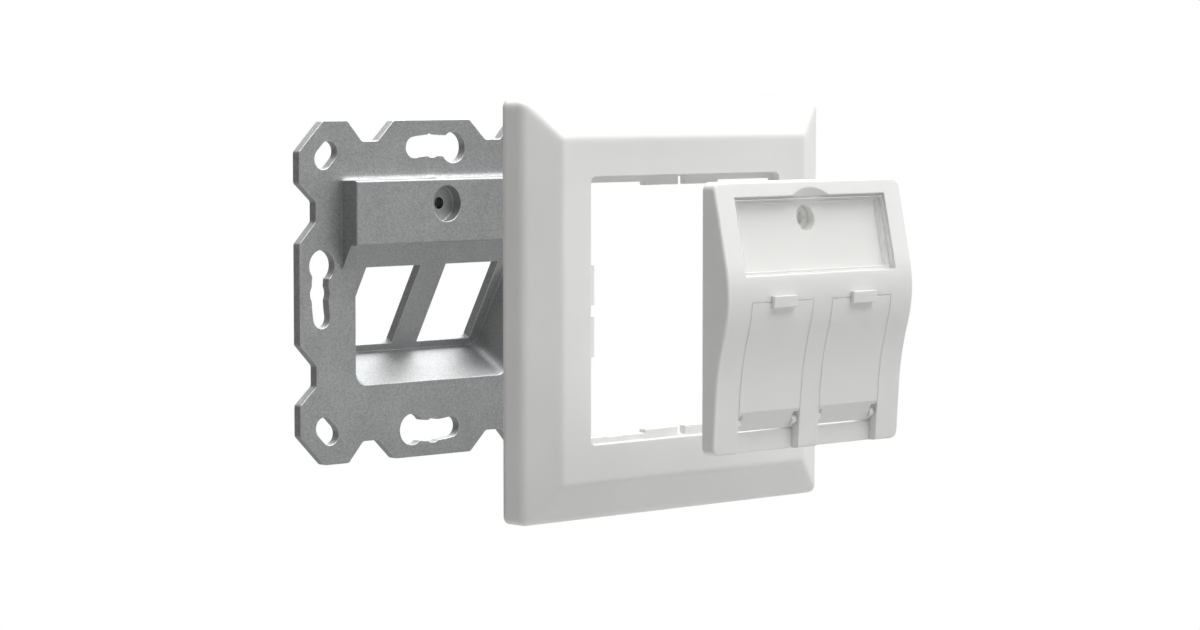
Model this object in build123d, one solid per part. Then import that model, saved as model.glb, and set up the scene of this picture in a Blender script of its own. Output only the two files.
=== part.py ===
from build123d import *
from math import atan, cos, degrees, radians, sin, tan
import os

# Two-port in-wall data outlet, drawn taken apart along the wall normal.
# X is right seen from the room, minus Y is towards the room, Z is up.
# The origin is the centre of the mounting frame on the wall face.

# Distances that the loose pieces stand in front of their seats
COVER_TRAVEL = 70.0
PLATE_TRAVEL = 31.0

# Mounting frame, a die-cast plate with a bridge and a sloping pocket
FRAME_HALF = 35.25
FRAME_THICK = 2.0
NOTCH_LEVEL = 31.0
EAR_FLAT_END = 29.0
EAR_FLAT_START = 22.7
NOTCH_OUTER = 18.9
NOTCH_INNER = 14.7
MID_EAR_HALF = 10.3
OUTLINE_ROUND = 0.9
SCREW_CIRCLE = 60.0
SLOT_WIDTH = 4.4
SCALLOP_D = 5.2
BULB_D = 6.6
BULB_ANGLE = 11.0
SLOT_END_ANGLE = 9.5
CORNER_SLOT_AT = 28.3
CORNER_SLOT_LONG = 6.5
CORNER_SLOT_WIDE = 4.5

# Bridge with the tapped hole for the centre plate
BRIDGE_HALF = 24.2
BRIDGE_BOTTOM = 9.75
BRIDGE_TOP = 23.1
BRIDGE_FRONT = 6.8
BRIDGE_WALL = 2.0
BRIDGE_EDGE = 0.45
SCREW_HEIGHT = 17.9
RECESS_D = 7.6
RECESS_DEPTH = 2.6
TAP_CORE_D = 2.5
TAP_BOSS_D = 10.8

# Pocket with the two keystone bays, its back wall leans with the top towards the room
LEAN = 30.0
PANEL_THICK = 2.0
BAY_TOP_Y = -2.3
BAY_TOP_Z = 5.0
BAY_LENGTH = 19.6
BAY_WIDTH = 14.7
MID_RIB = 6.8
FOOT_BAR = 1.7
POCKET_HALF = 20.75
POCKET_WALL = 1.6
POCKET_ROUND = 2.6

# Cover frame
COVER_SIZE = 80.0
COVER_SIDE = 5.0
COVER_EDGE = 1.7
COVER_DEPTH = 8.5
FIELD_SIZE = 65.2
COVER_WALL = 2.2
OPENING_SIZE = 50.8
OPENING_CORNER = 1.2
COLLAR_WALL = 1.8
LIP_FRONT = 6.9
LIP_THICK = 1.5
LIP_REACH = 1.2
TONGUE_REACH = 1.9
TONGUE_HALF = 9.8
SIDE_TONGUE_REACH = 2.3
SIDE_TONGUE_HALF = 8.8
LIP_NOTCH = 2.1

# Centre plate, a square whose front swells to a round ridge and falls back in a hollow curve
PLATE_SIZE = 50.0
PLATE_CORNER = 1.6
EDGE_TOP_DEPTH = 2.62
SLOPE = 0.22375
SLOPE_END_Z = 10.0
RIDGE_R = 25.0
STEEPEST = 16.9
FALL_ANGLE = 3.87
EDGE_BOTTOM_DEPTH = 2.65
PLATE_WALL = 2.0
PLATE_SIDE = 1.8
PLATE_EDGE = 0.5
CHEEK_FOOT = -20.0

# Label window and its seat in the upper slope
SEAT_WIDTH = 40.4
SEAT_HEIGHT = 14.65
SEAT_Z = 15.05
SEAT_DEPTH = 1.4
SEAT_LEDGE = 1.0
FLOOR_DEPTH = 2.2
WINDOW_THICK = 1.2
WINDOW_GAP = 0.15
WINDOW_CHAMFER = 0.4
SCOOP_CHORD_R = 9.1
SCOOP_TOP = 1.5
SCOOP_BALL_R = 16.0
SCOOP_OVERLAP = 0.2

# Screw and the boss that it passes
BOSS_D = 7.0
BOSS_GAP = 0.1
HEAD_BORE_D = 4.8
HEAD_BORE_DEPTH = 3.0
HEAD_D = 4.4
HEAD_HEIGHT = 1.6
HEAD_CHAMFER = 0.3
SHANK_D = 2.3
SHANK_BORE_D = 2.8
SHANK_LENGTH = 6.2
TIP_CHAMFER = 0.3
DRIVE_SLOT = 0.7
DRIVE_DEPTH = 0.9
DRIVE_REACH = 1.3

# Port openings and their dust flaps
PORT_INNER = 2.55
PORT_WIDTH = 16.2
PORT_TOP = 3.02
PORT_FOOT = -21.3
FOOT_DEPTH = 1.1
CHUTE_WALL = 1.2
CHUTE_REACH = 2.5
CHUTE_FRONT = -1.5
FLAP_SIDE_GAP = 0.08
FLAP_TOP_GAP = 0.1
FLAP_THICK = 1.3
BEND_Z = -17.4
FLAP_END = (-1.3, -21.0)
FLAP_END_BACK = (-0.45, -20.55)
PIVOT_Y = -1.55
PIVOT_Z = -19.6
PIN_R = 0.6
PIN_REACH = 0.8
PIN_BORE_R = 0.75
PIN_BORE_REACH = 1.0
KNUCKLE_R = 0.95
KNUCKLE_LENGTH = 1.2
NOTCH_HEIGHT = 0.8
NOTCH_DIP = 0.15
TAB_WIDTH = 6.2
TAB_TOP = 4.1
TAB_FOOT = 1.9
TAB_PROUD = 0.8
TAB_GAP = 0.08
TAB_ROOT = 0.5
TAB_RAKE = 0.15

# How far a cut runs past the piece that it cuts
PAST = 12.0

# Derived places
LIE = (0.0, sin(radians(LEAN)), -cos(radians(LEAN)))
BACK = (0.0, cos(radians(LEAN)), sin(radians(LEAN)))
SLOPE_ANGLE = degrees(atan(SLOPE))
SLOPE_END_DEPTH = EDGE_TOP_DEPTH + (PLATE_SIZE / 2 - SLOPE_END_Z) * SLOPE
RIDGE_DEPTH = SLOPE_END_DEPTH + RIDGE_R * (1 - cos(radians(SLOPE_ANGLE)))
COVER_SEAT_Y = 0.0
PLATE_SEAT_Y = -(LIP_FRONT + 0.1)
COVER_Y = COVER_SEAT_Y - COVER_TRAVEL
PLATE_Y = COVER_Y + PLATE_SEAT_Y - PLATE_TRAVEL
BOSS_END = BRIDGE_FRONT * -1 + RECESS_DEPTH - PLATE_SEAT_Y - BOSS_GAP


def at_y(y):
    """A drawing plane that faces the room at this depth."""
    return Plane.XZ.offset(-y)


def box(x, y, z):
    """A block from three pairs of limits."""
    size = [abs(b - a) for a, b in (x, y, z)]
    mid = [(a + b) / 2 for a, b in (x, y, z)]
    return Pos(*mid) * Box(*size)


def prism(outline, x0, x1):
    """A bar along X from a closed outline of (y, z) points."""
    face = Plane.YZ.offset(x0) * make_face(Polyline(*outline, close=True))
    return extrude(face, amount=x1 - x0)


def both_sides(shape):
    """The shape and its mirror image across the middle."""
    return shape + mirror(shape, about=Plane.YZ)


def along(y, z, lie, back):
    """A point reached along the leaning wall and square to it."""
    return (y + LIE[1] * lie + BACK[1] * back, z + LIE[2] * lie + BACK[2] * back)


def rod(x, z, y0, y1, d):
    """A round bar along Y between two depths."""
    return extrude(at_y(y1) * Pos(x, z) * Circle(d / 2), amount=y1 - y0)


# Mounting frame


def frame_outline():
    """The plate edge with four corner ears and four middle ears."""
    h = FRAME_HALF
    left = [(-EAR_FLAT_END, h), (-EAR_FLAT_START, h), (-NOTCH_OUTER, NOTCH_LEVEL)]
    left += [(-NOTCH_INNER, NOTCH_LEVEL), (-MID_EAR_HALF, h)]
    side = left + [(-x, z) for x, z in reversed(left)]
    points = []
    for _ in range(4):
        points += side
        side = [(z, -x) for x, z in side]
    face = make_face(Polyline(*points, close=True))
    return fillet(face.vertices(), OUTLINE_ROUND)


def keyhole():
    """The arc slot above the opening, with its wide end and locating scallop."""
    r = SCREW_CIRCLE / 2
    arc = CenterArc((0, 0), r, 90 - BULB_ANGLE, BULB_ANGLE + SLOT_END_ANGLE)
    bulb = Pos(r * sin(radians(BULB_ANGLE)), r * cos(radians(BULB_ANGLE))) * Circle(BULB_D / 2)
    return SlotArc(arc, SLOT_WIDTH) + bulb + Pos(0, r) * Circle(SCALLOP_D / 2)


def corner_slot():
    """The oblong hole in the upper left ear."""
    slot = Rot(0, 0, 45) * SlotOverall(CORNER_SLOT_LONG, CORNER_SLOT_WIDE)
    return Pos(-CORNER_SLOT_AT, CORNER_SLOT_AT) * slot


def frame_plate():
    """The flat plate with all its screw holes."""
    holes = [Rot(0, 0, 90 * k) * h for k in range(4) for h in (keyhole(), corner_slot())]
    sketch = frame_outline() - holes
    return extrude(Plane.XZ * sketch, amount=FRAME_THICK)


def bridge():
    """The raised block above the pocket with the sloping wall below it."""
    w = BRIDGE_HALF
    block = box((-w, w), (-BRIDGE_FRONT, -1), (BRIDGE_BOTTOM, BRIDGE_TOP))
    front = block.faces().sort_by(Axis.Y)[0]
    block = fillet(front.edges(), BRIDGE_EDGE)
    drop = (BRIDGE_BOTTOM - BAY_TOP_Z) / cos(radians(LEAN))
    top = along(BAY_TOP_Y, BAY_TOP_Z, -drop, 0)
    foot = along(BAY_TOP_Y, BAY_TOP_Z, 1.5, 0)
    wedge = prism([top, foot, (-1, foot[1]), (-1, top[1])], -w, w)
    return block + wedge


def bridge_hollow():
    """The space that opens at the back of the bridge."""
    drop = (BRIDGE_BOTTOM - BAY_TOP_Z) / cos(radians(LEAN))
    w = BRIDGE_HALF - BRIDGE_WALL
    front = -BRIDGE_FRONT + BRIDGE_WALL
    top = BRIDGE_TOP - BRIDGE_WALL
    upper = along(BAY_TOP_Y, BAY_TOP_Z, -drop, PANEL_THICK)
    lower = along(BAY_TOP_Y, BAY_TOP_Z, 0.5, PANEL_THICK)
    outline = [lower, upper, (front, upper[1] + 1), (front, top), (1, top), (1, lower[1])]
    return prism(outline, -w, w)


def pocket_corner(back, foot):
    """The lower corner of the pocket, grown by the wall sizes given."""
    return along(BAY_TOP_Y, BAY_TOP_Z, BAY_LENGTH + FOOT_BAR + foot, back)


def pocket_shell():
    """The outside of the pocket behind the plate."""
    y, z = pocket_corner(PANEL_THICK, POCKET_WALL)
    run = (y + 1.0) / BACK[1]
    rim = (-1.0, z - BACK[2] * run)
    head = along(BAY_TOP_Y, BAY_TOP_Z, -0.5, PANEL_THICK)
    outline = [(-1.0, head[1]), head, (y, z), rim]
    w = POCKET_HALF + POCKET_WALL
    return prism(outline, -w, w)


def pocket_space():
    """The room-side space in the pocket, with rounded lower corners."""
    y, z = pocket_corner(0, 0)
    reach = (y + 3.0) / BACK[1]
    rim = (-3.0, z - BACK[2] * reach)
    rise = (BAY_TOP_Y + 3.0) / LIE[1]
    top = along(BAY_TOP_Y, BAY_TOP_Z, -rise, 0)
    space = prism([top, (y, z), rim], -POCKET_HALF, POCKET_HALF)
    lower = space.edges().filter_by(Axis((0, 0, 0), BACK)).sort_by(Axis.Z)
    return fillet(lower, POCKET_ROUND)


def bay():
    """The cut for the right-hand keystone module."""
    corners = [(0, -3), (BAY_LENGTH, -3), (BAY_LENGTH, 4), (0, 4)]
    outline = [along(BAY_TOP_Y, BAY_TOP_Z, lie, back) for lie, back in corners]
    return prism(outline, MID_RIB / 2, MID_RIB / 2 + BAY_WIDTH)


def mounting_frame():
    """Plate, bridge and pocket as one casting."""
    body = frame_plate() + bridge() + pocket_shell()
    body -= bridge_hollow()
    body -= pocket_space()
    body -= both_sides(bay())
    body += rod(0, SCREW_HEIGHT, -BRIDGE_FRONT + BRIDGE_WALL, 0, TAP_BOSS_D)
    body -= rod(0, SCREW_HEIGHT, -BRIDGE_FRONT - 1, -BRIDGE_FRONT + RECESS_DEPTH, RECESS_D)
    body -= rod(0, SCREW_HEIGHT, -BRIDGE_FRONT, 1, TAP_CORE_D)
    return body


# Cover frame, drawn with its wall edge at zero depth


def cover_outside():
    """The square block with a broad bevel and softened edges."""
    square = Rectangle(COVER_SIZE, COVER_SIZE)
    field = Rectangle(FIELD_SIZE, FIELD_SIZE)
    base = extrude(Plane.XZ * square, amount=COVER_SIDE)
    bevel = loft([at_y(-COVER_SIDE) * square, at_y(-COVER_DEPTH) * field], ruled=True)
    block = base + bevel
    field_edges = block.faces().sort_by(Axis.Y)[0].edges()
    wall_edges = block.faces().sort_by(Axis.Y)[-1].edges()
    return fillet(block.edges() - field_edges - wall_edges, COVER_EDGE)


def cover_hollow():
    """The space behind the bevel that clears the mounting frame."""
    wide = COVER_SIZE - 2 * COVER_WALL
    small = FIELD_SIZE - 2 * COVER_WALL
    depth = COVER_SIDE - COVER_WALL
    base = extrude(Plane.XZ * RectangleRounded(wide, wide, 1.0), amount=depth)
    back = at_y(-depth) * RectangleRounded(wide, wide, 1.0)
    front = at_y(-COVER_DEPTH + COVER_WALL) * RectangleRounded(small, small, 0.5)
    return base + loft([back, front])


def opening(half, y0, y1):
    """The square hole for the centre plate between two depths."""
    square = RectangleRounded(2 * half, 2 * half, OPENING_CORNER)
    return extrude(at_y(y1) * square, amount=y1 - y0)


def rest_lips():
    """The lips on the four sides that the centre plate rests on."""
    h = OPENING_SIZE / 2
    y = (-LIP_FRONT, -LIP_FRONT + LIP_THICK)
    gap = LIP_NOTCH / 2
    rail = box((-h, h), y, (h - LIP_REACH, h + 1))
    tongue = box((gap, TONGUE_HALF), y, (h - TONGUE_REACH, h + 1))
    side = box((h - SIDE_TONGUE_REACH, h + 1), y, (gap, SIDE_TONGUE_HALF))
    side += mirror(side, about=Plane.XY)
    top = rail - box((-gap, gap), y, (0, h - 0.3)) + both_sides(tongue)
    return top + mirror(top, about=Plane.XY) + both_sides(side)


def cover_frame():
    """The white surround in its taken-apart place."""
    half = OPENING_SIZE / 2
    lip_back = -LIP_FRONT + LIP_THICK
    body = cover_outside() - cover_hollow()
    body += opening(half + COLLAR_WALL, -COVER_DEPTH + 1, lip_back)
    body -= opening(half, -COVER_DEPTH - 1, lip_back + 1)
    return Pos(0, COVER_Y, 0) * (body + rest_lips())


# Centre plate, drawn with its back edge at zero depth


def front_y(z):
    """Depth of the straight upper slope at a height."""
    return -EDGE_TOP_DEPTH - (PLATE_SIZE / 2 - z) * SLOPE


def lower_y(z):
    """Depth of the straight lower part at a height."""
    return -EDGE_BOTTOM_DEPTH - (PLATE_SIZE / 2 + z) * tan(radians(FALL_ANGLE))


def hollow_radius(y, z):
    """Radius of the curve from this point, where the front is steepest, to the straight lower part."""
    steep, fall = radians(STEEPEST), radians(FALL_ANGLE)
    gap = cos(fall) - cos(steep) - tan(fall) * (sin(steep) - sin(fall))
    return (lower_y(z) - y) / gap


def swell(back, x0, x1, shift=0.0):
    """The solid between the curved front and a flat back, moved in by a wall."""
    h = PLATE_SIZE / 2
    upper = Line((-EDGE_TOP_DEPTH, h), (-SLOPE_END_DEPTH, SLOPE_END_Z))
    ridge = JernArc(upper @ 1, upper % 1, RIDGE_R, SLOPE_ANGLE + STEEPEST)
    turn = ridge @ 1
    hollow = JernArc(turn, ridge % 1, hollow_radius(turn.X, turn.Y), FALL_ANGLE - STEEPEST)
    lower = Line(hollow @ 1, (-EDGE_BOTTOM_DEPTH, -h))
    front = Pos(shift, 0) * Curve([upper, ridge, hollow, lower])
    sides = Polyline(front @ 1, (back, -h), (back, h), front @ 0)
    face = Plane.YZ.offset(x0) * make_face(front.edges() + sides.edges())
    return extrude(face, amount=x1 - x0)


def seat_plane():
    """The plane of the upper slope at the middle of the label."""
    lean = (0, -1, SLOPE)
    return Plane(origin=(0, front_y(SEAT_Z), SEAT_Z), x_dir=(1, 0, 0), z_dir=lean)


def sunk(width, height, top, bottom):
    """A block under the upper slope between two depths below it."""
    slab = Pos(0, 0, -(top + bottom) / 2) * Box(width, height, bottom - top)
    return seat_plane() * slab


def label_space():
    """The stepped recess for the label and its window."""
    card_w = SEAT_WIDTH - 2 * SEAT_LEDGE
    card_h = SEAT_HEIGHT - 2 * SEAT_LEDGE
    return sunk(SEAT_WIDTH, SEAT_HEIGHT, -2, SEAT_DEPTH) + sunk(card_w, card_h, 0, FLOOR_DEPTH)


def finger_scoop():
    """The shallow hollow above the window."""
    up = SEAT_HEIGHT / 2 + SCOOP_TOP - SCOOP_CHORD_R
    rise = (SCOOP_BALL_R**2 - SCOOP_CHORD_R**2) ** 0.5
    ball = seat_plane() * Pos(0, up, rise) * Sphere(SCOOP_BALL_R)
    band = 2 * (SCOOP_TOP + SCOOP_OVERLAP)
    keep = seat_plane() * Pos(0, SEAT_HEIGHT / 2 + SCOOP_TOP, 0) * Box(2 * SCOOP_CHORD_R, band, PAST)
    return ball & keep


def floor_y():
    """Depth of the label floor at the screw."""
    return front_y(SCREW_HEIGHT) + FLOOR_DEPTH / cos(radians(SLOPE_ANGLE))


def port_cut():
    """The right-hand port opening with the set-back foot under it."""
    x = (PORT_INNER, PORT_INNER + PORT_WIDTH)
    through = box(x, (-PAST, PAST), (PORT_FOOT, PORT_TOP))
    foot = box(x, (-PAST, -FOOT_DEPTH), (-PLATE_SIZE / 2 - PAST, PORT_FOOT + 1))
    return through + foot


def pivot_bores():
    """The blind holes for the pins of the right-hand flap."""
    middle = PORT_INNER + PORT_WIDTH / 2
    bore = Cylinder(PIN_BORE_R, PORT_WIDTH + 2 * PIN_BORE_REACH, rotation=(0, 90, 0))
    return Pos(middle, PIVOT_Y, PIVOT_Z) * bore


def chute():
    """The short guide walls behind the two ports."""
    w = PORT_INNER + PORT_WIDTH + CHUTE_WALL
    return box((-w, w), (CHUTE_FRONT, CHUTE_REACH), (PORT_FOOT - CHUTE_WALL, PORT_TOP + CHUTE_WALL))


def plate_hollows():
    """The cast-out spaces behind the label floor and the cheeks."""
    h = PLATE_SIZE / 2 - PLATE_SIDE
    chute_edge = PORT_INNER + PORT_WIDTH + CHUTE_WALL
    upper = swell(1, -h, h, FLOOR_DEPTH + 1.3)
    upper &= box((-h, h), (-PAST, PAST), (PORT_TOP + CHUTE_WALL, h))
    cheek = swell(1, chute_edge, h, PLATE_WALL)
    cheek &= box((chute_edge, h), (-PAST, PAST), (CHEEK_FOOT, PORT_TOP + CHUTE_WALL))
    return upper + both_sides(cheek)


def front_rim(body):
    """The edges round the front of the plate, without the lines across it."""
    ahead = body.edges().filter_by(Axis.Y, reverse=True).filter_by(lambda edge: edge.center().Y < -1)
    return ahead.filter_by(lambda edge: abs(edge.center().X) > 1 or abs(edge.center().Z) > PLATE_SIZE / 4)


def centre_plate():
    """The white insert with label recess, screw boss and two ports."""
    h = PLATE_SIZE / 2
    body = swell(0, -h, h)
    body = fillet(body.edges().filter_by(Axis.Y), PLATE_CORNER)
    body = fillet(front_rim(body), PLATE_EDGE)
    body -= plate_hollows()
    body += chute()
    body += rod(0, SCREW_HEIGHT, -2, BOSS_END, BOSS_D)
    body -= label_space()
    body -= finger_scoop()
    body -= both_sides(port_cut())
    body -= both_sides(pivot_bores())
    floor = floor_y()
    body -= rod(0, SCREW_HEIGHT, floor - 1, floor + HEAD_BORE_DEPTH, HEAD_BORE_D)
    body -= rod(0, SCREW_HEIGHT, floor, BOSS_END + 1, SHANK_BORE_D)
    return Pos(0, PLATE_Y, 0) * body


def label_window():
    """The clear cover that lies on the ledge of the label recess."""
    top = SEAT_DEPTH - WINDOW_THICK
    width = SEAT_WIDTH - 2 * WINDOW_GAP
    height = SEAT_HEIGHT - 2 * WINDOW_GAP
    slab = Box(width, height, WINDOW_THICK)
    rim = slab.faces().sort_by(Axis.Z)[-1].edges()
    slab = chamfer(rim, WINDOW_CHAMFER)
    slab = Pos(0, 0, -(top + SEAT_DEPTH) / 2) * slab
    return Pos(0, PLATE_Y, 0) * (seat_plane() * slab)


def fixing_screw():
    """The screw that holds the centre plate to the bridge."""
    seat = floor_y() + HEAD_BORE_DEPTH
    head = rod(0, SCREW_HEIGHT, seat - HEAD_HEIGHT, seat, HEAD_D)
    head = chamfer(head.faces().sort_by(Axis.Y)[0].edges(), HEAD_CHAMFER)
    y = (seat - HEAD_HEIGHT - 1, seat - HEAD_HEIGHT + DRIVE_DEPTH)
    s = DRIVE_SLOT / 2
    head -= box((-DRIVE_REACH, DRIVE_REACH), y, (SCREW_HEIGHT - s, SCREW_HEIGHT + s))
    head -= box((-s, s), y, (SCREW_HEIGHT - DRIVE_REACH, SCREW_HEIGHT + DRIVE_REACH))
    shank = rod(0, SCREW_HEIGHT, seat, seat + SHANK_LENGTH, SHANK_D)
    tip = shank.faces().sort_by(Axis.Y)[-1].edges()
    return Pos(0, PLATE_Y, 0) * (head + chamfer(tip, TIP_CHAMFER))


def flap_tab():
    """The pull tab on the top edge of the right-hand flap."""
    mid = PORT_INNER + PORT_WIDTH / 2
    top = -RIDGE_DEPTH - TAB_PROUD
    back = -RIDGE_DEPTH - TAB_GAP
    step = PORT_TOP - FLAP_TOP_GAP
    outline = [(top, TAB_TOP), (back, TAB_TOP), (back, step), (back + TAB_ROOT, step)]
    outline += [(back + TAB_ROOT, TAB_FOOT), (top + TAB_RAKE, TAB_FOOT)]
    return prism(outline, mid - TAB_WIDTH / 2, mid + TAB_WIDTH / 2)


def flap_foot(x0, x1):
    """The part of the flap that bends back below the swell."""
    y0 = lower_y(BEND_Z)
    outline = [(y0, BEND_Z), FLAP_END, FLAP_END_BACK, (y0 + FLAP_THICK, BEND_Z)]
    return prism(outline, x0, x1)


def flap_pivots(x0, x1):
    """The knuckle and pin at each end of the flap's foot."""
    knuckle = Rot(0, 90, 0) * Cylinder(KNUCKLE_R, KNUCKLE_LENGTH)
    pin = Rot(0, 90, 0) * Cylinder(PIN_R, KNUCKLE_LENGTH + PIN_REACH)
    left = Pos(x0 + KNUCKLE_LENGTH / 2) * knuckle + Pos(x0 + (KNUCKLE_LENGTH - PIN_REACH) / 2) * pin
    right = Pos(x1 - KNUCKLE_LENGTH / 2) * knuckle + Pos(x1 - (KNUCKLE_LENGTH - PIN_REACH) / 2) * pin
    return Pos(0, PIVOT_Y, PIVOT_Z) * (left + right)


def knuckle_notches(x0, x1):
    """The reliefs above the two knuckles."""
    reach = KNUCKLE_LENGTH + FLAP_SIDE_GAP
    foot = PIVOT_Z + KNUCKLE_R - NOTCH_DIP
    y, z = (-PAST, PAST), (foot, foot + NOTCH_HEIGHT)
    return box((x0 - PAST, x0 + reach), y, z) + box((x1 - reach, x1 + PAST), y, z)


def right_flap():
    """The right-hand flap, shut."""
    x0 = PORT_INNER + FLAP_SIDE_GAP
    x1 = PORT_INNER + PORT_WIDTH - FLAP_SIDE_GAP
    slab = swell(2, x0, x1) - swell(4, x0 - 1, x1 + 1, FLAP_THICK)
    slab &= box((x0, x1), (-PAST, PAST), (BEND_Z, PORT_TOP - FLAP_TOP_GAP))
    slab += flap_foot(x0, x1) + flap_tab()
    return slab - knuckle_notches(x0, x1) + flap_pivots(x0, x1)


def save(shape, name):
    """Write one piece as a STEP file."""
    export_step(shape, f"parts/{name}.step")


def main():
    """Build every piece in its taken-apart place."""
    os.makedirs("parts", exist_ok=True)
    flap = Pos(0, PLATE_Y, 0) * right_flap()
    save(mounting_frame(), "mounting_frame")
    save(cover_frame(), "cover_frame")
    save(centre_plate(), "centre_plate")
    save(label_window(), "label_window")
    save(fixing_screw(), "fixing_screw")
    save(mirror(flap, about=Plane.YZ), "shutter_left")
    save(flap, "shutter_right")


main()
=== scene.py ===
"""Looks of a two-port in-wall data outlet, shown taken apart along the wall normal.

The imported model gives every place. This script dresses its nodes, cuts the screw's thread and
drive, adds the tapped thread of the bridge and the thin lips round the flaps, and sets the
floor, the lamps and the camera. Lengths are in metres, and angles in degrees where a size
holds them.
"""

import logging
import math
from dataclasses import dataclass, field
from enum import Enum
from typing import Any, Mapping, Optional, Sequence, Union

import bpy
import numpy as np
from mathutils import Euler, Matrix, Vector
from mathutils.bvhtree import BVHTree


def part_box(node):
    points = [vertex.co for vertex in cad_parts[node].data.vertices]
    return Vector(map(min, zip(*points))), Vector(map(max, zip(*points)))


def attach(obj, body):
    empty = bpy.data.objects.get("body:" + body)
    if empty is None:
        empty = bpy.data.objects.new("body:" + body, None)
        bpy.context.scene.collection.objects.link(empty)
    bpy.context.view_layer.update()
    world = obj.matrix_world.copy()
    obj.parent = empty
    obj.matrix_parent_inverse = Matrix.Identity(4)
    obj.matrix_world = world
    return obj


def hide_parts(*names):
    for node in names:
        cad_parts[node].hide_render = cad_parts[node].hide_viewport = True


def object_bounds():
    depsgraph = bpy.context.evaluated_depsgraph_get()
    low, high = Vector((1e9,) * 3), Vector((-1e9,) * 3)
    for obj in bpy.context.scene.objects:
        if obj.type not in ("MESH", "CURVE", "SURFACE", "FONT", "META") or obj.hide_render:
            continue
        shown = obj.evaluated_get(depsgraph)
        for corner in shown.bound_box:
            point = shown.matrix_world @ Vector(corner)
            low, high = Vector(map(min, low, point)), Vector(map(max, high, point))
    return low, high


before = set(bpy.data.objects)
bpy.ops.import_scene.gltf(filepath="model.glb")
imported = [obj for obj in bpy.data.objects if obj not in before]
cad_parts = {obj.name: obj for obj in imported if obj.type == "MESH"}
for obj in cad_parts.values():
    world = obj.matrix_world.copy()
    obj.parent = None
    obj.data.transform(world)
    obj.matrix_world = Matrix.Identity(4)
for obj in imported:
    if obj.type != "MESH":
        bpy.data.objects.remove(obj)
CAD_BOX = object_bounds()

MM = 0.001
PHOTO_WIDTH_PX = 1200
BEVEL_SAMPLES = 10
EDGE_GAIN = 5.0
LOG = logging.getLogger("outlet")

Colour = tuple[float, float, float]


class Slot(Enum):
    """Names of three material slots, which no piece in this script takes its finish from."""

    CASTING = "cast_zinc"
    MOULDING = "white_plastic"
    SCREW = "plated_steel"


# Shader maths


class Value:
    """A shader socket on which Python's operators add Math nodes."""

    def __init__(self, tree: "Tree", socket: Optional[bpy.types.NodeSocket]) -> None:
        """Keep the tree and the output socket."""
        self.tree = tree
        self.socket = socket

    def _math(self, operation: str, *terms: "Operand") -> "Value":
        """Add one Math node of this operation."""
        return self.tree.add("ShaderNodeMath", {"operation": operation}, dict(enumerate(terms)))

    def __add__(self, other: "Operand") -> "Value":
        """Sum."""
        return self._math("ADD", self, other)

    __radd__ = __add__

    def __sub__(self, other: "Operand") -> "Value":
        """Difference."""
        return self._math("SUBTRACT", self, other)

    def __rsub__(self, other: "Operand") -> "Value":
        """Difference with the socket on the right."""
        return self._math("SUBTRACT", other, self)

    def __mul__(self, other: "Operand") -> "Value":
        """Product."""
        return self._math("MULTIPLY", self, other)

    __rmul__ = __mul__

    def __truediv__(self, other: "Operand") -> "Value":
        """Quotient."""
        return self._math("DIVIDE", self, other)

    def __or__(self, other: "Operand") -> "Value":
        """The larger of the two."""
        return self._math("MAXIMUM", self, other)

    def __and__(self, other: "Operand") -> "Value":
        """The smaller of the two."""
        return self._math("MINIMUM", self, other)

    def unsigned(self) -> "Value":
        """The value without its sign: the larger of it and its negative."""
        return self | self * -1.0

    def clamped(self) -> "Value":
        """The value held between 0 and 1."""
        return (self | 0.0) & 1.0


Operand = Union[Value, float]


@dataclass(frozen=True)
class Noise:
    """Cloud noise from 0 to 1: its blobs' size, the number of finer octaves and their strength."""

    size: float
    detail: float
    roughness: float


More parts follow.
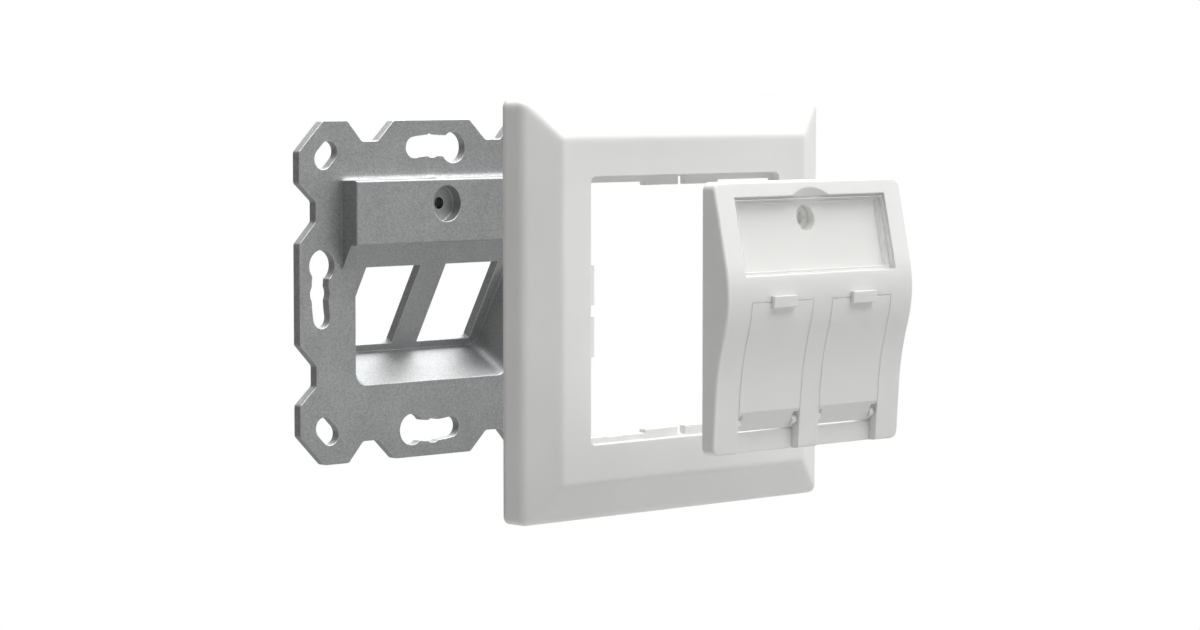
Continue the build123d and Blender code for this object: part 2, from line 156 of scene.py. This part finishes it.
class Tree:
    """A node tree that is filled through one generic method."""

    def __init__(self, owner: Union[bpy.types.Material, bpy.types.World]) -> None:
        """Empty the owner's node tree and keep it."""
        owner.use_nodes = True
        self.tree = owner.node_tree
        self.tree.nodes.clear()

    def add(
        self,
        kind: str,
        settings: Mapping[str, Any],
        inputs: Mapping[Union[int, str], Any],
        output: Union[int, str] = 0,
    ) -> Value:
        """Add a node, set it, and feed its sockets.

        Args:
            kind: Blender's node type.
            settings: Properties set before the sockets are fed.
            inputs: A number, a tuple or a Value for each socket named or numbered.
            output: The output socket that is wanted.

        Returns:
            That output socket, or an empty Value from a node that has none.
        """
        node = self.tree.nodes.new(kind)
        for name, setting in settings.items():
            setattr(node, name, setting)
        for key, given in inputs.items():
            if isinstance(given, Value):
                self.tree.links.new(given.socket, node.inputs[key])
            else:
                node.inputs[key].default_value = given
        return Value(self, node.outputs[output] if len(node.outputs) else None)

    def place(self) -> Value:
        """The point on the object."""
        return self.add("ShaderNodeTexCoord", {}, {}, "Object")

    def axis(self, name: str) -> Value:
        """One coordinate of the point on the object, by the axis's letter."""
        return self.add("ShaderNodeSeparateXYZ", {}, {0: self.place()}, name)

    def noise(self, noise: Noise) -> Value:
        """Cloud noise on the object.

        Args:
            noise: Its size, detail and roughness.

        Returns:
            A value from 0 to 1.
        """
        sockets = {
            "Vector": self.place(),
            "Scale": 1.0 / noise.size,
            "Detail": noise.detail,
            "Roughness": noise.roughness,
        }
        return self.add("ShaderNodeTexNoise", {"noise_dimensions": "3D"}, sockets)

    def mix(self, factor: Operand, low: Any, high: Any) -> Value:
        """A colour between low and high."""
        settings = {"data_type": "RGBA", "blend_type": "MIX"}
        return self.add("ShaderNodeMix", settings, {0: factor, 6: low, 7: high}, 2)

    def blend(self, factor: Operand, low: Value, high: Value) -> Value:
        """A direction between low and high."""
        settings = {"data_type": "VECTOR", "factor_mode": "UNIFORM"}
        return self.add("ShaderNodeMix", settings, {0: factor, 4: low, 5: high}, 1)

    def rounded_normal(self, radius: float) -> Value:
        """The normal that an edge rounded by radius would have."""
        return self.add("ShaderNodeBevel", {"samples": BEVEL_SAMPLES}, {"Radius": radius})

    def edge_mask(self, rounded: Value) -> Value:
        """0 on flats and up to 1 on outer and inner edges: one less the product of both normals.

        Args:
            rounded: The rounded normal.

        Returns:
            The mask, raised by EDGE_GAIN and held between 0 and 1.
        """
        true = self.add("ShaderNodeNewGeometry", {}, {}, "Normal")
        dot = self.add("ShaderNodeVectorMath", {"operation": "DOT_PRODUCT"}, {0: rounded, 1: true}, "Value")
        return ((1.0 - dot) * EDGE_GAIN).clamped()

    def bump(self, height: Value, depth: float, normal: Value) -> Value:
        """A normal tilted by a height from 0 to 1 over this depth."""
        return self.add("ShaderNodeBump", {}, {"Height": height, "Distance": depth, "Normal": normal})

    def finish(self, shader: Value, output: str = "ShaderNodeOutputMaterial") -> None:
        """Join the shader to the tree's output."""
        self.add(output, {}, {"Surface": shader})

    def principled(self, sockets: Mapping[str, Any]) -> None:
        """Finish the tree with one Principled shader that has these sockets."""
        self.finish(self.add("ShaderNodeBsdfPrincipled", {}, sockets))


def new_material(name: str) -> tuple[bpy.types.Material, Tree]:
    """A material of this name and its empty tree."""
    made = bpy.data.materials.new(name)
    return made, Tree(made)


def grey(level: float) -> tuple[float, float, float, float]:
    """A neutral colour of this linear level."""
    return (level, level, level, 1.0)


def rgba(colour: Colour) -> tuple[float, float, float, float]:
    """A colour with full alpha."""
    return (*colour, 1.0)


# Finishes


@dataclass(frozen=True)
class CastZinc:
    """Bare die-cast zinc: a speckled skin, slow clouds, polished edges lightened as wear and painted
    highlight, and a fillet over the bridge.

    The fillet is shading only: just above the bridge, the normal is that of a wide rounding.
    """

    name: str = "cast_zinc"
    dark: Colour = (0.325, 0.345, 0.364)
    light: Colour = (0.61, 0.606, 0.595)
    # the near-white that edges turn to: partly wear, partly a painted highlight
    worn_and_highlight: Colour = (0.92, 0.92, 0.91)
    metallic: float = 0.88
    skin: Noise = Noise(0.3 * MM, 3.0, 0.6)
    cloud: Noise = Noise(7.0 * MM, 4.0, 0.55)
    skin_share: float = 2.1
    cloud_share: float = 0.5
    tone_drop: float = 0.83
    skin_depth: float = 0.03 * MM
    smooth: float = 0.40
    rough: float = 0.56
    edge_radius: float = 0.24 * MM
    edge_wear_and_highlight: float = 0.8
    edge_polish: float = 0.12
    fillet_radius: float = 2.6 * MM
    fillet_rise: float = 12.0
    fillet_reach: float = 1.15
    fillet_overhang: float = 0.4
    bridge_top: float = 23.1 * MM
    bridge_half: float = 24.2 * MM

    def fillet_mask(self, tree: Tree) -> Value:
        """1 on the plate just above the bridge, faded to 0 over a fillet's height and towards its ends.

        With h the height above the bridge's top and s the way in from its end, both in fillet
        radii, it is (s + overhang) * min(rise * h, reach - h), each factor held between 0 and 1.

        Args:
            tree: The material's tree.

        Returns:
            The mask.
        """
        beside = (self.bridge_half - tree.axis("X").unsigned()) * (1.0 / self.fillet_radius)
        above = (tree.axis("Z") - self.bridge_top) * (1.0 / self.fillet_radius)
        height = (above * self.fillet_rise) & (self.fillet_reach - above)
        return (beside + self.fillet_overhang).clamped() * height.clamped()

    def material(self) -> bpy.types.Material:
        """Build the material.

        Returns:
            The material.
        """
        made, tree = new_material(self.name)
        rounded = tree.rounded_normal(self.edge_radius)
        edge = tree.edge_mask(rounded)
        wide = tree.rounded_normal(self.fillet_radius)
        normal = tree.blend(self.fillet_mask(tree), rounded, wide)
        cloud = tree.noise(self.cloud)
        skin = tree.noise(self.skin)
        tone = (cloud * self.cloud_share + skin * self.skin_share - self.tone_drop).clamped()
        colour = tree.mix(tone, rgba(self.dark), rgba(self.light))
        tree.principled(
            {
                # painted highlight: outer and inner edges are lightened towards near-white, partly as wear
                "Base Color": tree.mix(edge * self.edge_wear_and_highlight, colour, rgba(self.worn_and_highlight)),
                "Metallic": self.metallic,
                "Roughness": (self.smooth + (self.rough - self.smooth) * skin) - edge * self.edge_polish,
                "Normal": tree.bump(skin, self.skin_depth, normal),
            }
        )
        return made


@dataclass(frozen=True)
class WhiteMoulding:
    """Glossy white moulded plastic with a trace of flow and softened edges.

    A broad radius above 0 also rounds the ridges that lie past broad_beyond, in the shading.
    """

    name: str = "white_moulding"
    shade: Colour = (0.80, 0.80, 0.788)
    tint: Colour = (0.865, 0.865, 0.857)
    roughness: float = 0.33
    ior: float = 1.5
    depth_share: float = 0.3
    depth_reach: float = 0.7 * MM
    depth_colours: Colour = (1.0, 1.0, 1.0)
    flow: Noise = Noise(14.0 * MM, 2.0, 0.4)
    flow_gloss: float = 0.08
    peel: Noise = Noise(1.6 * MM, 2.0, 0.5)
    peel_depth: float = 0.006 * MM
    edge_radius: float = 0.28 * MM
    broad_radius: float = 0.0
    broad_beyond: float = 27.5 * MM
    broad_fade: float = 1.0 * MM

    def edges(self, tree: Tree) -> Value:
        """The softened normal, softened by the broad radius where max(|x|, |z|) is past broad_beyond.

        Args:
            tree: The material's tree.

        Returns:
            The normal, blended over broad_fade.
        """
        fine = tree.rounded_normal(self.edge_radius)
        if not self.broad_radius:
            return fine
        away = tree.axis("X").unsigned() | tree.axis("Z").unsigned()
        share = ((away - self.broad_beyond) * (1.0 / self.broad_fade)).clamped()
        return tree.blend(share, fine, tree.rounded_normal(self.broad_radius))

    def material(self) -> bpy.types.Material:
        """Build the material.

        Returns:
            The material.
        """
        made, tree = new_material(self.name)
        rounded = self.edges(tree)
        flow = tree.noise(self.flow)
        peel = tree.noise(self.peel)
        tree.principled(
            {
                "Base Color": tree.mix(flow, rgba(self.shade), rgba(self.tint)),
                "Roughness": self.roughness + (flow - 0.5) * self.flow_gloss,
                "Subsurface Weight": self.depth_share,
                "Subsurface Radius": self.depth_colours,
                "Subsurface Scale": self.depth_reach,
                "IOR": self.ior,
                "Normal": tree.bump(peel, self.peel_depth, rounded),
            }
        )
        return made


@dataclass(frozen=True)
class ClearMoulding:
    """Clear plastic that lets the label floor show, with rims that catch the light."""

    name: str = "clear_moulding"
    tint: Colour = (0.97, 0.98, 0.95)
    pale: float = 0.94
    pale_share: float = 0.3
    body: float = 0.14
    edge: float = 2.2
    roughness: float = 0.16
    ior: float = 1.49
    ripple: Noise = Noise(9.0 * MM, 1.0, 0.4)
    ripple_gloss: float = 0.04
    ripple_depth: float = 0.01 * MM
    edge_radius: float = 0.32 * MM

    def material(self) -> bpy.types.Material:
        """Build the material.

        Returns:
            The material.
        """
        made, tree = new_material(self.name)
        rounded = tree.rounded_normal(self.edge_radius)
        edge = tree.edge_mask(rounded)
        ripple = tree.noise(self.ripple)
        tree.principled(
            {
                "Base Color": tree.mix(ripple * self.pale_share, rgba(self.tint), grey(self.pale)),
                "Roughness": self.roughness + ripple * self.ripple_gloss,
                "IOR": self.ior,
                "Alpha": (self.body + edge * self.edge).clamped(),
                "Normal": tree.bump(ripple, self.ripple_depth, rounded),
            }
        )
        return made


@dataclass(frozen=True)
class PlatedSteel:
    """Bright zinc plating with fine marks and slow clouds."""

    name: str = "plated_steel"
    dark: Colour = (0.58, 0.57, 0.54)
    light: Colour = (0.80, 0.79, 0.76)
    roughness: float = 0.28
    mark: Noise = Noise(0.12 * MM, 2.0, 0.5)
    mark_gloss: float = 0.12
    mark_depth: float = 0.004 * MM
    cloud: Noise = Noise(0.72 * MM, 2.0, 0.5)
    edge_radius: float = 0.08 * MM

    def material(self) -> bpy.types.Material:
        """Build the material.

        Returns:
            The material.
        """
        made, tree = new_material(self.name)
        mark = tree.noise(self.mark)
        cloud = tree.noise(self.cloud)
        rounded = tree.rounded_normal(self.edge_radius)
        tree.principled(
            {
                "Base Color": tree.mix(cloud, rgba(self.dark), rgba(self.light)),
                "Metallic": 1.0,
                "Roughness": self.roughness + mark * self.mark_gloss,
                "Normal": tree.bump(mark, self.mark_depth, rounded),
            }
        )
        return made


@dataclass(frozen=True)
class FloorPaper:
    """White paper that the camera sees as the background, with the object's shadow kept.

    Other rays meet a darker sheet, and a camera below the sheet looks through it.
    """

    name: str = "floor_paper"
    bounce: float = 0.46
    mirrored: float = 0.25
    shadowed: float = 0.95
    shadow_share: float = 0.3
    shadow_reach: float = 0.9

    def material(self) -> bpy.types.Material:
        """Build the material.

        Returns:
            The material.
        """
        made, tree = new_material(self.name)
        camera = tree.add("ShaderNodeLightPath", {}, {}, "Is Camera Ray")
        glossy = tree.add("ShaderNodeLightPath", {}, {}, "Is Glossy Ray")
        behind = tree.add("ShaderNodeNewGeometry", {}, {}, "Backfacing")
        tone = tree.mix(glossy, grey(self.bounce), grey(self.mirrored))
        paper = tree.add("ShaderNodeBsdfDiffuse", {}, {"Color": tone})
        pale = tree.add("ShaderNodeBsdfDiffuse", {}, {"Color": grey(self.shadowed)})
        white = tree.add("ShaderNodeEmission", {}, {"Color": grey(1.0), "Strength": 1.0})
        clear = tree.add("ShaderNodeBsdfTransparent", {}, {})
        away = tree.add("ShaderNodeVectorMath", {"operation": "LENGTH"}, {0: tree.place()}, "Value")
        near = (1.0 - away / self.shadow_reach).clamped()
        shown = tree.add("ShaderNodeMixShader", {}, {0: self.shadow_share * near, 1: white, 2: pale})
        lit = tree.add("ShaderNodeMixShader", {}, {0: camera, 1: paper, 2: shown})
        tree.finish(tree.add("ShaderNodeMixShader", {}, {0: camera * behind, 1: lit, 2: clear}))
        return made


# Surfaces on a grid


@dataclass
class Surface:
    """A surface given by a grid of points, closed round its columns.

    Row i holds the points of one ring. The first and last rings are closed by a pole each, or
    the last ring joins the first one when the surface is a tube that returns to its start.
    """

    name: str
    points: np.ndarray
    returns: bool = False
    smooth: bool = True

    def faces(self) -> np.ndarray:
        """Quads between neighbouring rings: (i, j), (i, j+1), (i+1, j+1), (i+1, j), wrapped over j.

        Returns:
            One row of four point numbers for each quad.
        """
        rows, cols = self.points.shape[:2]
        span = rows if self.returns else rows - 1
        i, j = np.meshgrid(np.arange(span), np.arange(cols), indexing="ij")
        down, right = (i + 1) % rows, (j + 1) % cols
        corners = [i * cols + j, i * cols + right, down * cols + right, down * cols + j]
        return np.stack(corners, -1).reshape(-1, 4)

    def caps(self, count: int) -> np.ndarray:
        """Triangles from each end ring to its pole.

        Args:
            count: The number of points without the poles, which are points count and count + 1.

        Returns:
            One row of three point numbers for each triangle.
        """
        rows, cols = self.points.shape[:2]
        j = np.arange(cols)
        after = (j + 1) % cols
        last = (rows - 1) * cols
        front = np.stack([np.full(cols, count), after, j], -1)
        back = np.stack([np.full(cols, count + 1), last + j, last + after], -1)
        return np.concatenate([front, back])

    def build(self) -> bpy.types.Object:
        """Make the mesh object, with its faces turned outwards.

        Returns:
            The object, at the origin.
        """
        flat = self.points.reshape(-1, 3)
        polygons = self.faces().tolist()
        if not self.returns:
            poles = self.points[[0, -1]].mean(1)
            polygons += self.caps(len(flat)).tolist()
            flat = np.concatenate([flat, poles])
        if signed_volume(flat, polygons) < 0:
            polygons = [ring[::-1] for ring in polygons]
        mesh = bpy.data.meshes.new(self.name)
        mesh.from_pydata(flat.tolist(), [], polygons)
        mesh.polygons.foreach_set("use_smooth", np.full(len(mesh.polygons), self.smooth))
        mesh.update()
        made = bpy.data.objects.new(self.name, mesh)
        bpy.context.scene.collection.objects.link(made)
        return made


def signed_volume(points: np.ndarray, polygons: Sequence[Sequence[int]]) -> float:
    """Volume inside a closed mesh: a sixth of the sum of a . (b x c) over a fan of every face.

    Args:
        points: The mesh's points.
        polygons: Its triangles and quads.

    Returns:
        The volume, below zero when the faces point inwards.
    """
    total = 0.0
    for size in (3, 4):
        rings = np.array([ring for ring in polygons if len(ring) == size])
        for k in range(2, size if len(rings) else 0):
            a, b, c = points[rings[:, 0]], points[rings[:, k - 1]], points[rings[:, k]]
            total += float((a * np.cross(b, c)).sum()) / 6.0
    return total


def ridge(phase: np.ndarray) -> np.ndarray:
    """A rounded thread profile: 0 at whole phases and 1 midway, one less a cosine, halved."""
    return (1.0 - np.cos(2.0 * np.pi * phase)) / 2.0


def ease(x: np.ndarray, start: float, end: float) -> np.ndarray:
    """0 before start, 1 after end, and 3t^2 - 2t^3 between."""
    t = np.clip((x - start) / (end - start), 0.0, 1.0)
    return t * t * (3.0 - 2.0 * t)


def spread(column: np.ndarray, angle: np.ndarray) -> np.ndarray:
    """A column of values, one for each ring, repeated at every angle of the row."""
    return column + np.zeros_like(angle)


def turned(radius: np.ndarray, y: np.ndarray, angle: np.ndarray, x0: float, z0: float) -> np.ndarray:
    """Points round an axis along Y through (x0, z0): (x0 + r cos a, y, z0 + r sin a)."""
    return np.stack([x0 + radius * np.cos(angle), y, z0 + radius * np.sin(angle)], -1)


def dress(piece: bpy.types.Object, finish: bpy.types.Material) -> None:
    """Give a piece this one finish."""
    piece.data.materials.clear()
    piece.data.materials.append(finish)


# Sub-assemblies


@dataclass
class Casting:
    """The cast mounting frame, with the tapped thread of its bridge."""

    finish: CastZinc = field(default_factory=CastZinc)
    # The thread's finish is near-black metal: painted shade for the dark inside of the bore.
    shaded_thread_finish: PlatedSteel = PlatedSteel("thread_painted_shade", dark=(0.05,) * 3, light=(0.3,) * 3, roughness=0.2)
    axis_x: float = 0.0
    axis_z: float = 17.9 * MM
    recess_floor: float = -4.2 * MM
    recess_gap: float = 0.02 * MM
    bore_end: float = -0.3 * MM
    core_radius: float = 1.25 * MM
    valley_depth: float = 0.004 * MM
    sleeve_depth: float = 0.03 * MM
    crest: float = 0.09 * MM
    pitch: float = 0.5 * MM
    rings_per_turn: int = 10
    round_steps: int = 40

    def thread(self) -> bpy.types.Object:
        """The thread's crests as a thin sleeve in the bore.

        The inner wall's radius is the core plus the valley's depth, less the crest times
        ridge(y / pitch - angle / turn), and the outer wall lies just inside the metal.

        Returns:
            The sleeve.
        """
        length = self.bore_end - self.recess_floor
        rings = round(length / self.pitch * self.rings_per_turn)
        along = np.linspace(self.recess_floor + self.recess_gap, self.bore_end, rings)[:, None]
        turn = np.arange(self.round_steps)[None, :] / self.round_steps
        inner = self.core_radius + self.valley_depth - self.crest * ridge(along / self.pitch - turn)
        wall = np.full((1, self.round_steps), self.core_radius + self.sleeve_depth)
        radius = np.concatenate([wall, inner, wall])
        y = spread(np.concatenate([along[:1], along, along[-1:]]), turn)
        points = turned(radius, y, 2.0 * np.pi * turn, self.axis_x, self.axis_z)
        return Surface("bridge_thread", points, returns=True).build()

    def build(self) -> None:
        """Dress the casting and thread its bore."""
        dress(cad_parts["mounting_frame"], self.finish.material())
        thread = self.thread()
        dress(thread, self.shaded_thread_finish.material())
        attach(thread, "wall_body")
        LOG.info("mounting_frame: cast finish, thread with %d faces", len(thread.data.polygons))


@dataclass
class Mouldings:
    """The white pieces, of which the cover has broadly rounded ridges, and the clear window."""

    white: WhiteMoulding = field(default_factory=WhiteMoulding)
    cover: WhiteMoulding = WhiteMoulding("white_cover", broad_radius=2.0 * MM)
    clear: ClearMoulding = field(default_factory=ClearMoulding)
    white_nodes: tuple[str, ...] = ("centre_plate", "shutter_left", "shutter_right")
    cover_nodes: tuple[str, ...] = ("cover_frame",)
    clear_nodes: tuple[str, ...] = ("label_window",)

    def build(self) -> None:
        """Dress every moulded node."""
        groups = (
            (self.white, self.white_nodes),
            (self.cover, self.cover_nodes),
            (self.clear, self.clear_nodes),
        )
        for finish, names in groups:
            made = finish.material()
            for name in names:
                dress(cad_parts[name], made)
                LOG.info("%s: %s", name, finish.name)


@dataclass
class PortLips:
    """Thin lips on the walls of both ports, which fill the gaps round the flaps just under the face."""

    finish: WhiteMoulding = WhiteMoulding("white_lip", depth_share=0.0, edge_radius=0.01 * MM)
    inner: float = 2.55 * MM
    outer: float = 18.75 * MM
    top: float = 3.02 * MM
    foot: float = -17.6 * MM
    root: float = 0.04 * MM
    reach: float = 0.07 * MM
    probe: float = 0.3 * MM
    set_back: float = 0.015 * MM
    depth: float = 0.9 * MM
    rows: int = 60

    def face(self, points: np.ndarray) -> np.ndarray:
        """The y of the plate's front: where a line along +Y first meets its mesh.

        Args:
            points: Rows of (x, z).

        Returns:
            The y at each row.
        """
        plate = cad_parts["centre_plate"].data
        corners = [corner.co for corner in plate.vertices]
        tree = BVHTree.FromPolygons(corners, [tuple(polygon.vertices) for polygon in plate.polygons])
        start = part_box("centre_plate")[0].y - MM
        return np.array([tree.ray_cast(Vector((x, start, z)), Vector((0, 1, 0)))[0].y for x, z in points])

    def lip(self, name: str, wall: np.ndarray, inward: np.ndarray) -> bpy.types.Object:
        """Make one lip, a strip of four-sided rings along the wall.

        Args:
            name: The object's name.
            wall: Points (x, z) along the port's wall.
            inward: The unit step (x, z) from the wall into the port.

        Returns:
            The lip, which starts in the plate and ends in the gap.
        """
        y = self.face(wall - inward * self.probe) + self.set_back
        low, high = wall - inward * self.root, wall + inward * self.reach
        corners = [(low, y), (high, y), (high, y + self.depth), (low, y + self.depth)]
        ring = [np.stack([edge[:, 0], depth, edge[:, 1]], -1) for edge, depth in corners]
        return Surface(name, np.stack(ring, 1), smooth=False).build()

    def build(self) -> None:
        """Line the sides and the top of each port."""
        white = self.finish.material()
        z = np.linspace(self.foot, self.top, self.rows)
        x = np.linspace(self.inner, self.outer, self.rows)
        lips = []
        for side, mirror in (("left", -1.0), ("right", 1.0)):
            for edge, place, step in (("inner", self.inner, 1.0), ("outer", self.outer, -1.0)):
                wall = np.stack([np.full_like(z, place * mirror), z], -1)
                lips.append(self.lip(f"port_{side}_{edge}_lip", wall, np.array([step * mirror, 0.0])))
            wall = np.stack([x * mirror, np.full_like(x, self.top)], -1)
            lips.append(self.lip(f"port_{side}_top_lip", wall, np.array([0.0, -1.0])))
        for lip in lips:
            dress(lip, white)
            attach(lip, "plate_body")
        LOG.info("ports: %d lips of %d rows", len(lips), self.rows)


@dataclass
class FixingScrew:
    """The plated screw, with its cross drive and its thread."""

    finish: PlatedSteel = field(default_factory=PlatedSteel)
    head_height: float = 1.6 * MM
    head_round: float = 0.3 * MM
    head_chamfer: float = 0.06 * MM
    drive_reach: float = 1.25 * MM
    drive_floor_share: float = 0.55
    drive_half_width: float = 0.34 * MM
    drive_flank_shares: tuple[float, float] = (0.75, 1.25)
    drive_depth: float = 0.9 * MM
    core_radius: float = 0.95 * MM
    crest_radius: float = 1.15 * MM
    pitch: float = 0.5 * MM
    tip: float = 0.35 * MM
    centre_share: float = 0.02
    face_rings: int = 22
    rim_rings: int = 6
    rings_per_turn: int = 12
    round_steps: int = 96

    def head(self, radius: float, angle: np.ndarray) -> tuple[np.ndarray, np.ndarray]:
        """Rings of the head: its face with the drive, its rim and its foot.

        On the face, the depth is the drive's where the point is within its half width of either
        arm and within its reach, eased over its flanks; the rim is a quarter circle.

        Args:
            radius: The head's radius.
            angle: A row of angles.

        Returns:
            Radius and depth at every ring and angle.
        """
        r = np.linspace(self.centre_share, 1.0, self.face_rings)[:, None] * (radius - self.head_round)
        x, z = r * np.cos(angle), r * np.sin(angle)
        narrow = np.minimum(np.abs(x), np.abs(z))
        start, end = self.drive_flank_shares
        flank = 1.0 - ease(narrow, self.drive_half_width * start, self.drive_half_width * end)
        reach = 1.0 - ease(np.hypot(x, z), self.drive_reach * self.drive_floor_share, self.drive_reach)
        bend = np.linspace(0.0, np.pi / 2, self.rim_rings)[:, None]
        rim_r = radius - self.head_round + self.head_round * np.sin(bend)
        rim_depth = self.head_round * (1.0 - np.cos(bend))
        foot_r = np.array([[radius], [radius - self.head_chamfer]])
        foot_depth = np.array([[self.head_height - self.head_chamfer], [self.head_height]])
        radii = spread(np.concatenate([r, rim_r, foot_r]), angle)
        below = spread(np.concatenate([rim_depth, foot_depth]), angle)
        return radii, np.concatenate([self.drive_depth * flank * reach, below])

    def shank(self, length: float, angle: np.ndarray) -> tuple[np.ndarray, np.ndarray]:
        """Rings of the threaded shank.

        The radius is the core plus the crest's height times ridge(depth / pitch - angle / turn),
        eased in under the head and out before the conical tip.

        Args:
            length: The shank's length.
            angle: A row of angles.

        Returns:
            Radius and depth at every ring and angle.
        """
        rings = round(length / self.pitch * self.rings_per_turn)
        depth = np.linspace(0.0, length, rings)[:, None]
        phase = depth / self.pitch - angle / (2.0 * np.pi)
        fade = ease(depth, 0.0, self.pitch) * (1.0 - ease(depth, length - self.pitch, length))
        radius = self.core_radius + (self.crest_radius - self.core_radius) * ridge(phase) * fade
        radius = radius - self.tip * ease(depth, length - self.tip, length)
        return radius, spread(self.head_height + depth, angle)

    def build(self) -> None:
        """Make the screw where its node is and dress it."""
        low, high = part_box("fixing_screw")
        radius = (high.x - low.x) / 2
        axis_x, axis_z = (low.x + high.x) / 2, (low.z + high.z) / 2
        angle = 2.0 * np.pi * np.arange(self.round_steps)[None, :] / self.round_steps
        head_r, head_d = self.head(radius, angle)
        shank_r, shank_d = self.shank(high.y - low.y - self.head_height, angle)
        radii, depths = np.concatenate([head_r, shank_r]), np.concatenate([head_d, shank_d])
        points = turned(radii, low.y + depths, angle, axis_x, axis_z)
        screw = Surface("fixing_screw_threaded", points).build()
        plated = self.finish.material()
        dress(screw, plated)
        dress(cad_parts["fixing_screw"], plated)
        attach(screw, "plate_body")
        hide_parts("fixing_screw")
        LOG.info("fixing_screw_threaded: %d faces", len(screw.data.polygons))


# Studio


@dataclass(frozen=True)
class Lamp:
    """A square soft lamp that looks at the object, with its power in watts."""

    name: str
    azimuth: float
    elevation: float
    power: float
    size: float = 1.4
    distance: float = 1.3

    def build(self, target: Vector) -> None:
        """Hang the lamp round the target, azimuth 0 being in front of it.

        Args:
            target: The point that the lamp looks at.
        """
        a, e = math.radians(self.azimuth), math.radians(self.elevation)
        away = Vector((math.sin(a) * math.cos(e), -math.cos(a) * math.cos(e), math.sin(e)))
        data = bpy.data.lights.new(self.name, "AREA")
        data.shape, data.size, data.energy = "SQUARE", self.size, self.power
        lamp = bpy.data.objects.new(self.name, data)
        lamp.location = target + away * self.distance
        lamp.rotation_mode = "QUATERNION"
        lamp.rotation_quaternion = (-away).to_track_quat("-Z", "Y")
        bpy.context.scene.collection.objects.link(lamp)


@dataclass
class Studio:
    """Floor, world, lamps and camera."""

    floor_drop: float = 0.21
    floor_half: float = 8.0
    world_right: float = 0.64
    world_back: float = 0.38
    world_front: float = 0.18
    back_tint: Colour = (1.0, 0.95, 0.88)
    lamps: tuple[Lamp, ...] = (
        Lamp("key", 45.0, 70.0, 18.6),
        Lamp("top", 0.0, 75.0, 12.6),
        Lamp("back", 180.0, 60.0, 4.0),
        Lamp("rim", 118.0, 44.0, 18.0, size=1.9),
    )
    camera_azimuth: float = -42.91
    camera_elevation: float = 3.95
    camera_place: tuple[float, float, float] = (-459.76 * MM, -548.24 * MM, 43.54 * MM)
    camera_near: float = 0.01
    camera_far: float = 50.0
    sensor_mm: float = 36.0
    focal_px: float = 3400.0

    def floor(self) -> None:
        """A flat sheet far under the object: a grid of two by two points at one height."""
        z = CAD_BOX[0].z - self.floor_drop
        u, v = np.meshgrid([-1.0, 1.0], [-1.0, 1.0], indexing="ij")
        points = np.stack([u * self.floor_half, v * self.floor_half, np.full_like(u, z)], -1).reshape(-1, 3)
        mesh = bpy.data.meshes.new("floor")
        mesh.from_pydata(points.tolist(), [], [(0, 2, 3, 1)])
        sheet = bpy.data.objects.new("floor", mesh)
        bpy.context.scene.collection.objects.link(sheet)
        dress(sheet, FloorPaper().material())

    def world(self) -> None:
        """White to the camera, and a studio with a bright right side as light and in reflections.

        The level at a direction (x, y, z) is right * max(x, 0) + back * max(y, 0) + front * max(-y, 0),
        and towards the back the colour turns from white to back_tint. A camera ray gets white and
        the larger of the level and 1.
        """
        world = bpy.data.worlds.new("studio")
        bpy.context.scene.world = world
        tree = Tree(world)
        camera = tree.add("ShaderNodeLightPath", {}, {}, "Is Camera Ray")
        direction = tree.add("ShaderNodeTexCoord", {}, {}, "Generated")
        x, y = (tree.add("ShaderNodeSeparateXYZ", {}, {0: direction}, axis) for axis in ("X", "Y"))
        right, back, front = x | 0.0, y | 0.0, y * -1.0 | 0.0
        level = right * self.world_right + back * self.world_back + front * self.world_front
        colour = tree.mix(back * (1.0 - camera), grey(1.0), rgba(self.back_tint))
        light = tree.add("ShaderNodeBackground", {}, {"Color": colour, "Strength": level | camera})
        tree.finish(light, "ShaderNodeOutputWorld")

    def camera(self) -> None:
        """The photograph's view: a level horizon, tipped down by the elevation."""
        data = bpy.data.cameras.new("camera")
        data.sensor_width = self.sensor_mm
        data.lens = self.focal_px / PHOTO_WIDTH_PX * self.sensor_mm
        data.clip_start, data.clip_end = self.camera_near, self.camera_far
        camera = bpy.data.objects.new("camera", data)
        camera.location = self.camera_place
        turn = (math.radians(90.0 - self.camera_elevation), 0.0, math.radians(self.camera_azimuth))
        camera.rotation_euler = Euler(turn)
        bpy.context.scene.collection.objects.link(camera)
        bpy.context.scene.camera = camera

    def build(self) -> None:
        """Set up everything round the object."""
        bpy.context.scene.view_settings.view_transform = "Standard"
        middle = (CAD_BOX[0] + CAD_BOX[1]) / 2
        self.floor()
        self.world()
        self.camera()
        for lamp in self.lamps:
            lamp.build(middle)
        LOG.info("studio: floor %.0f mm under the object", self.floor_drop / MM)


def main() -> None:
    """Build the sub-assemblies in order, then the studio."""
    logging.basicConfig(level=logging.INFO, format="%(name)s: %(message)s")
    for part in (Casting(), Mouldings(), PortLips(), FixingScrew()):
        part.build()
    Studio().build()


if __name__ == "__main__":
    main()
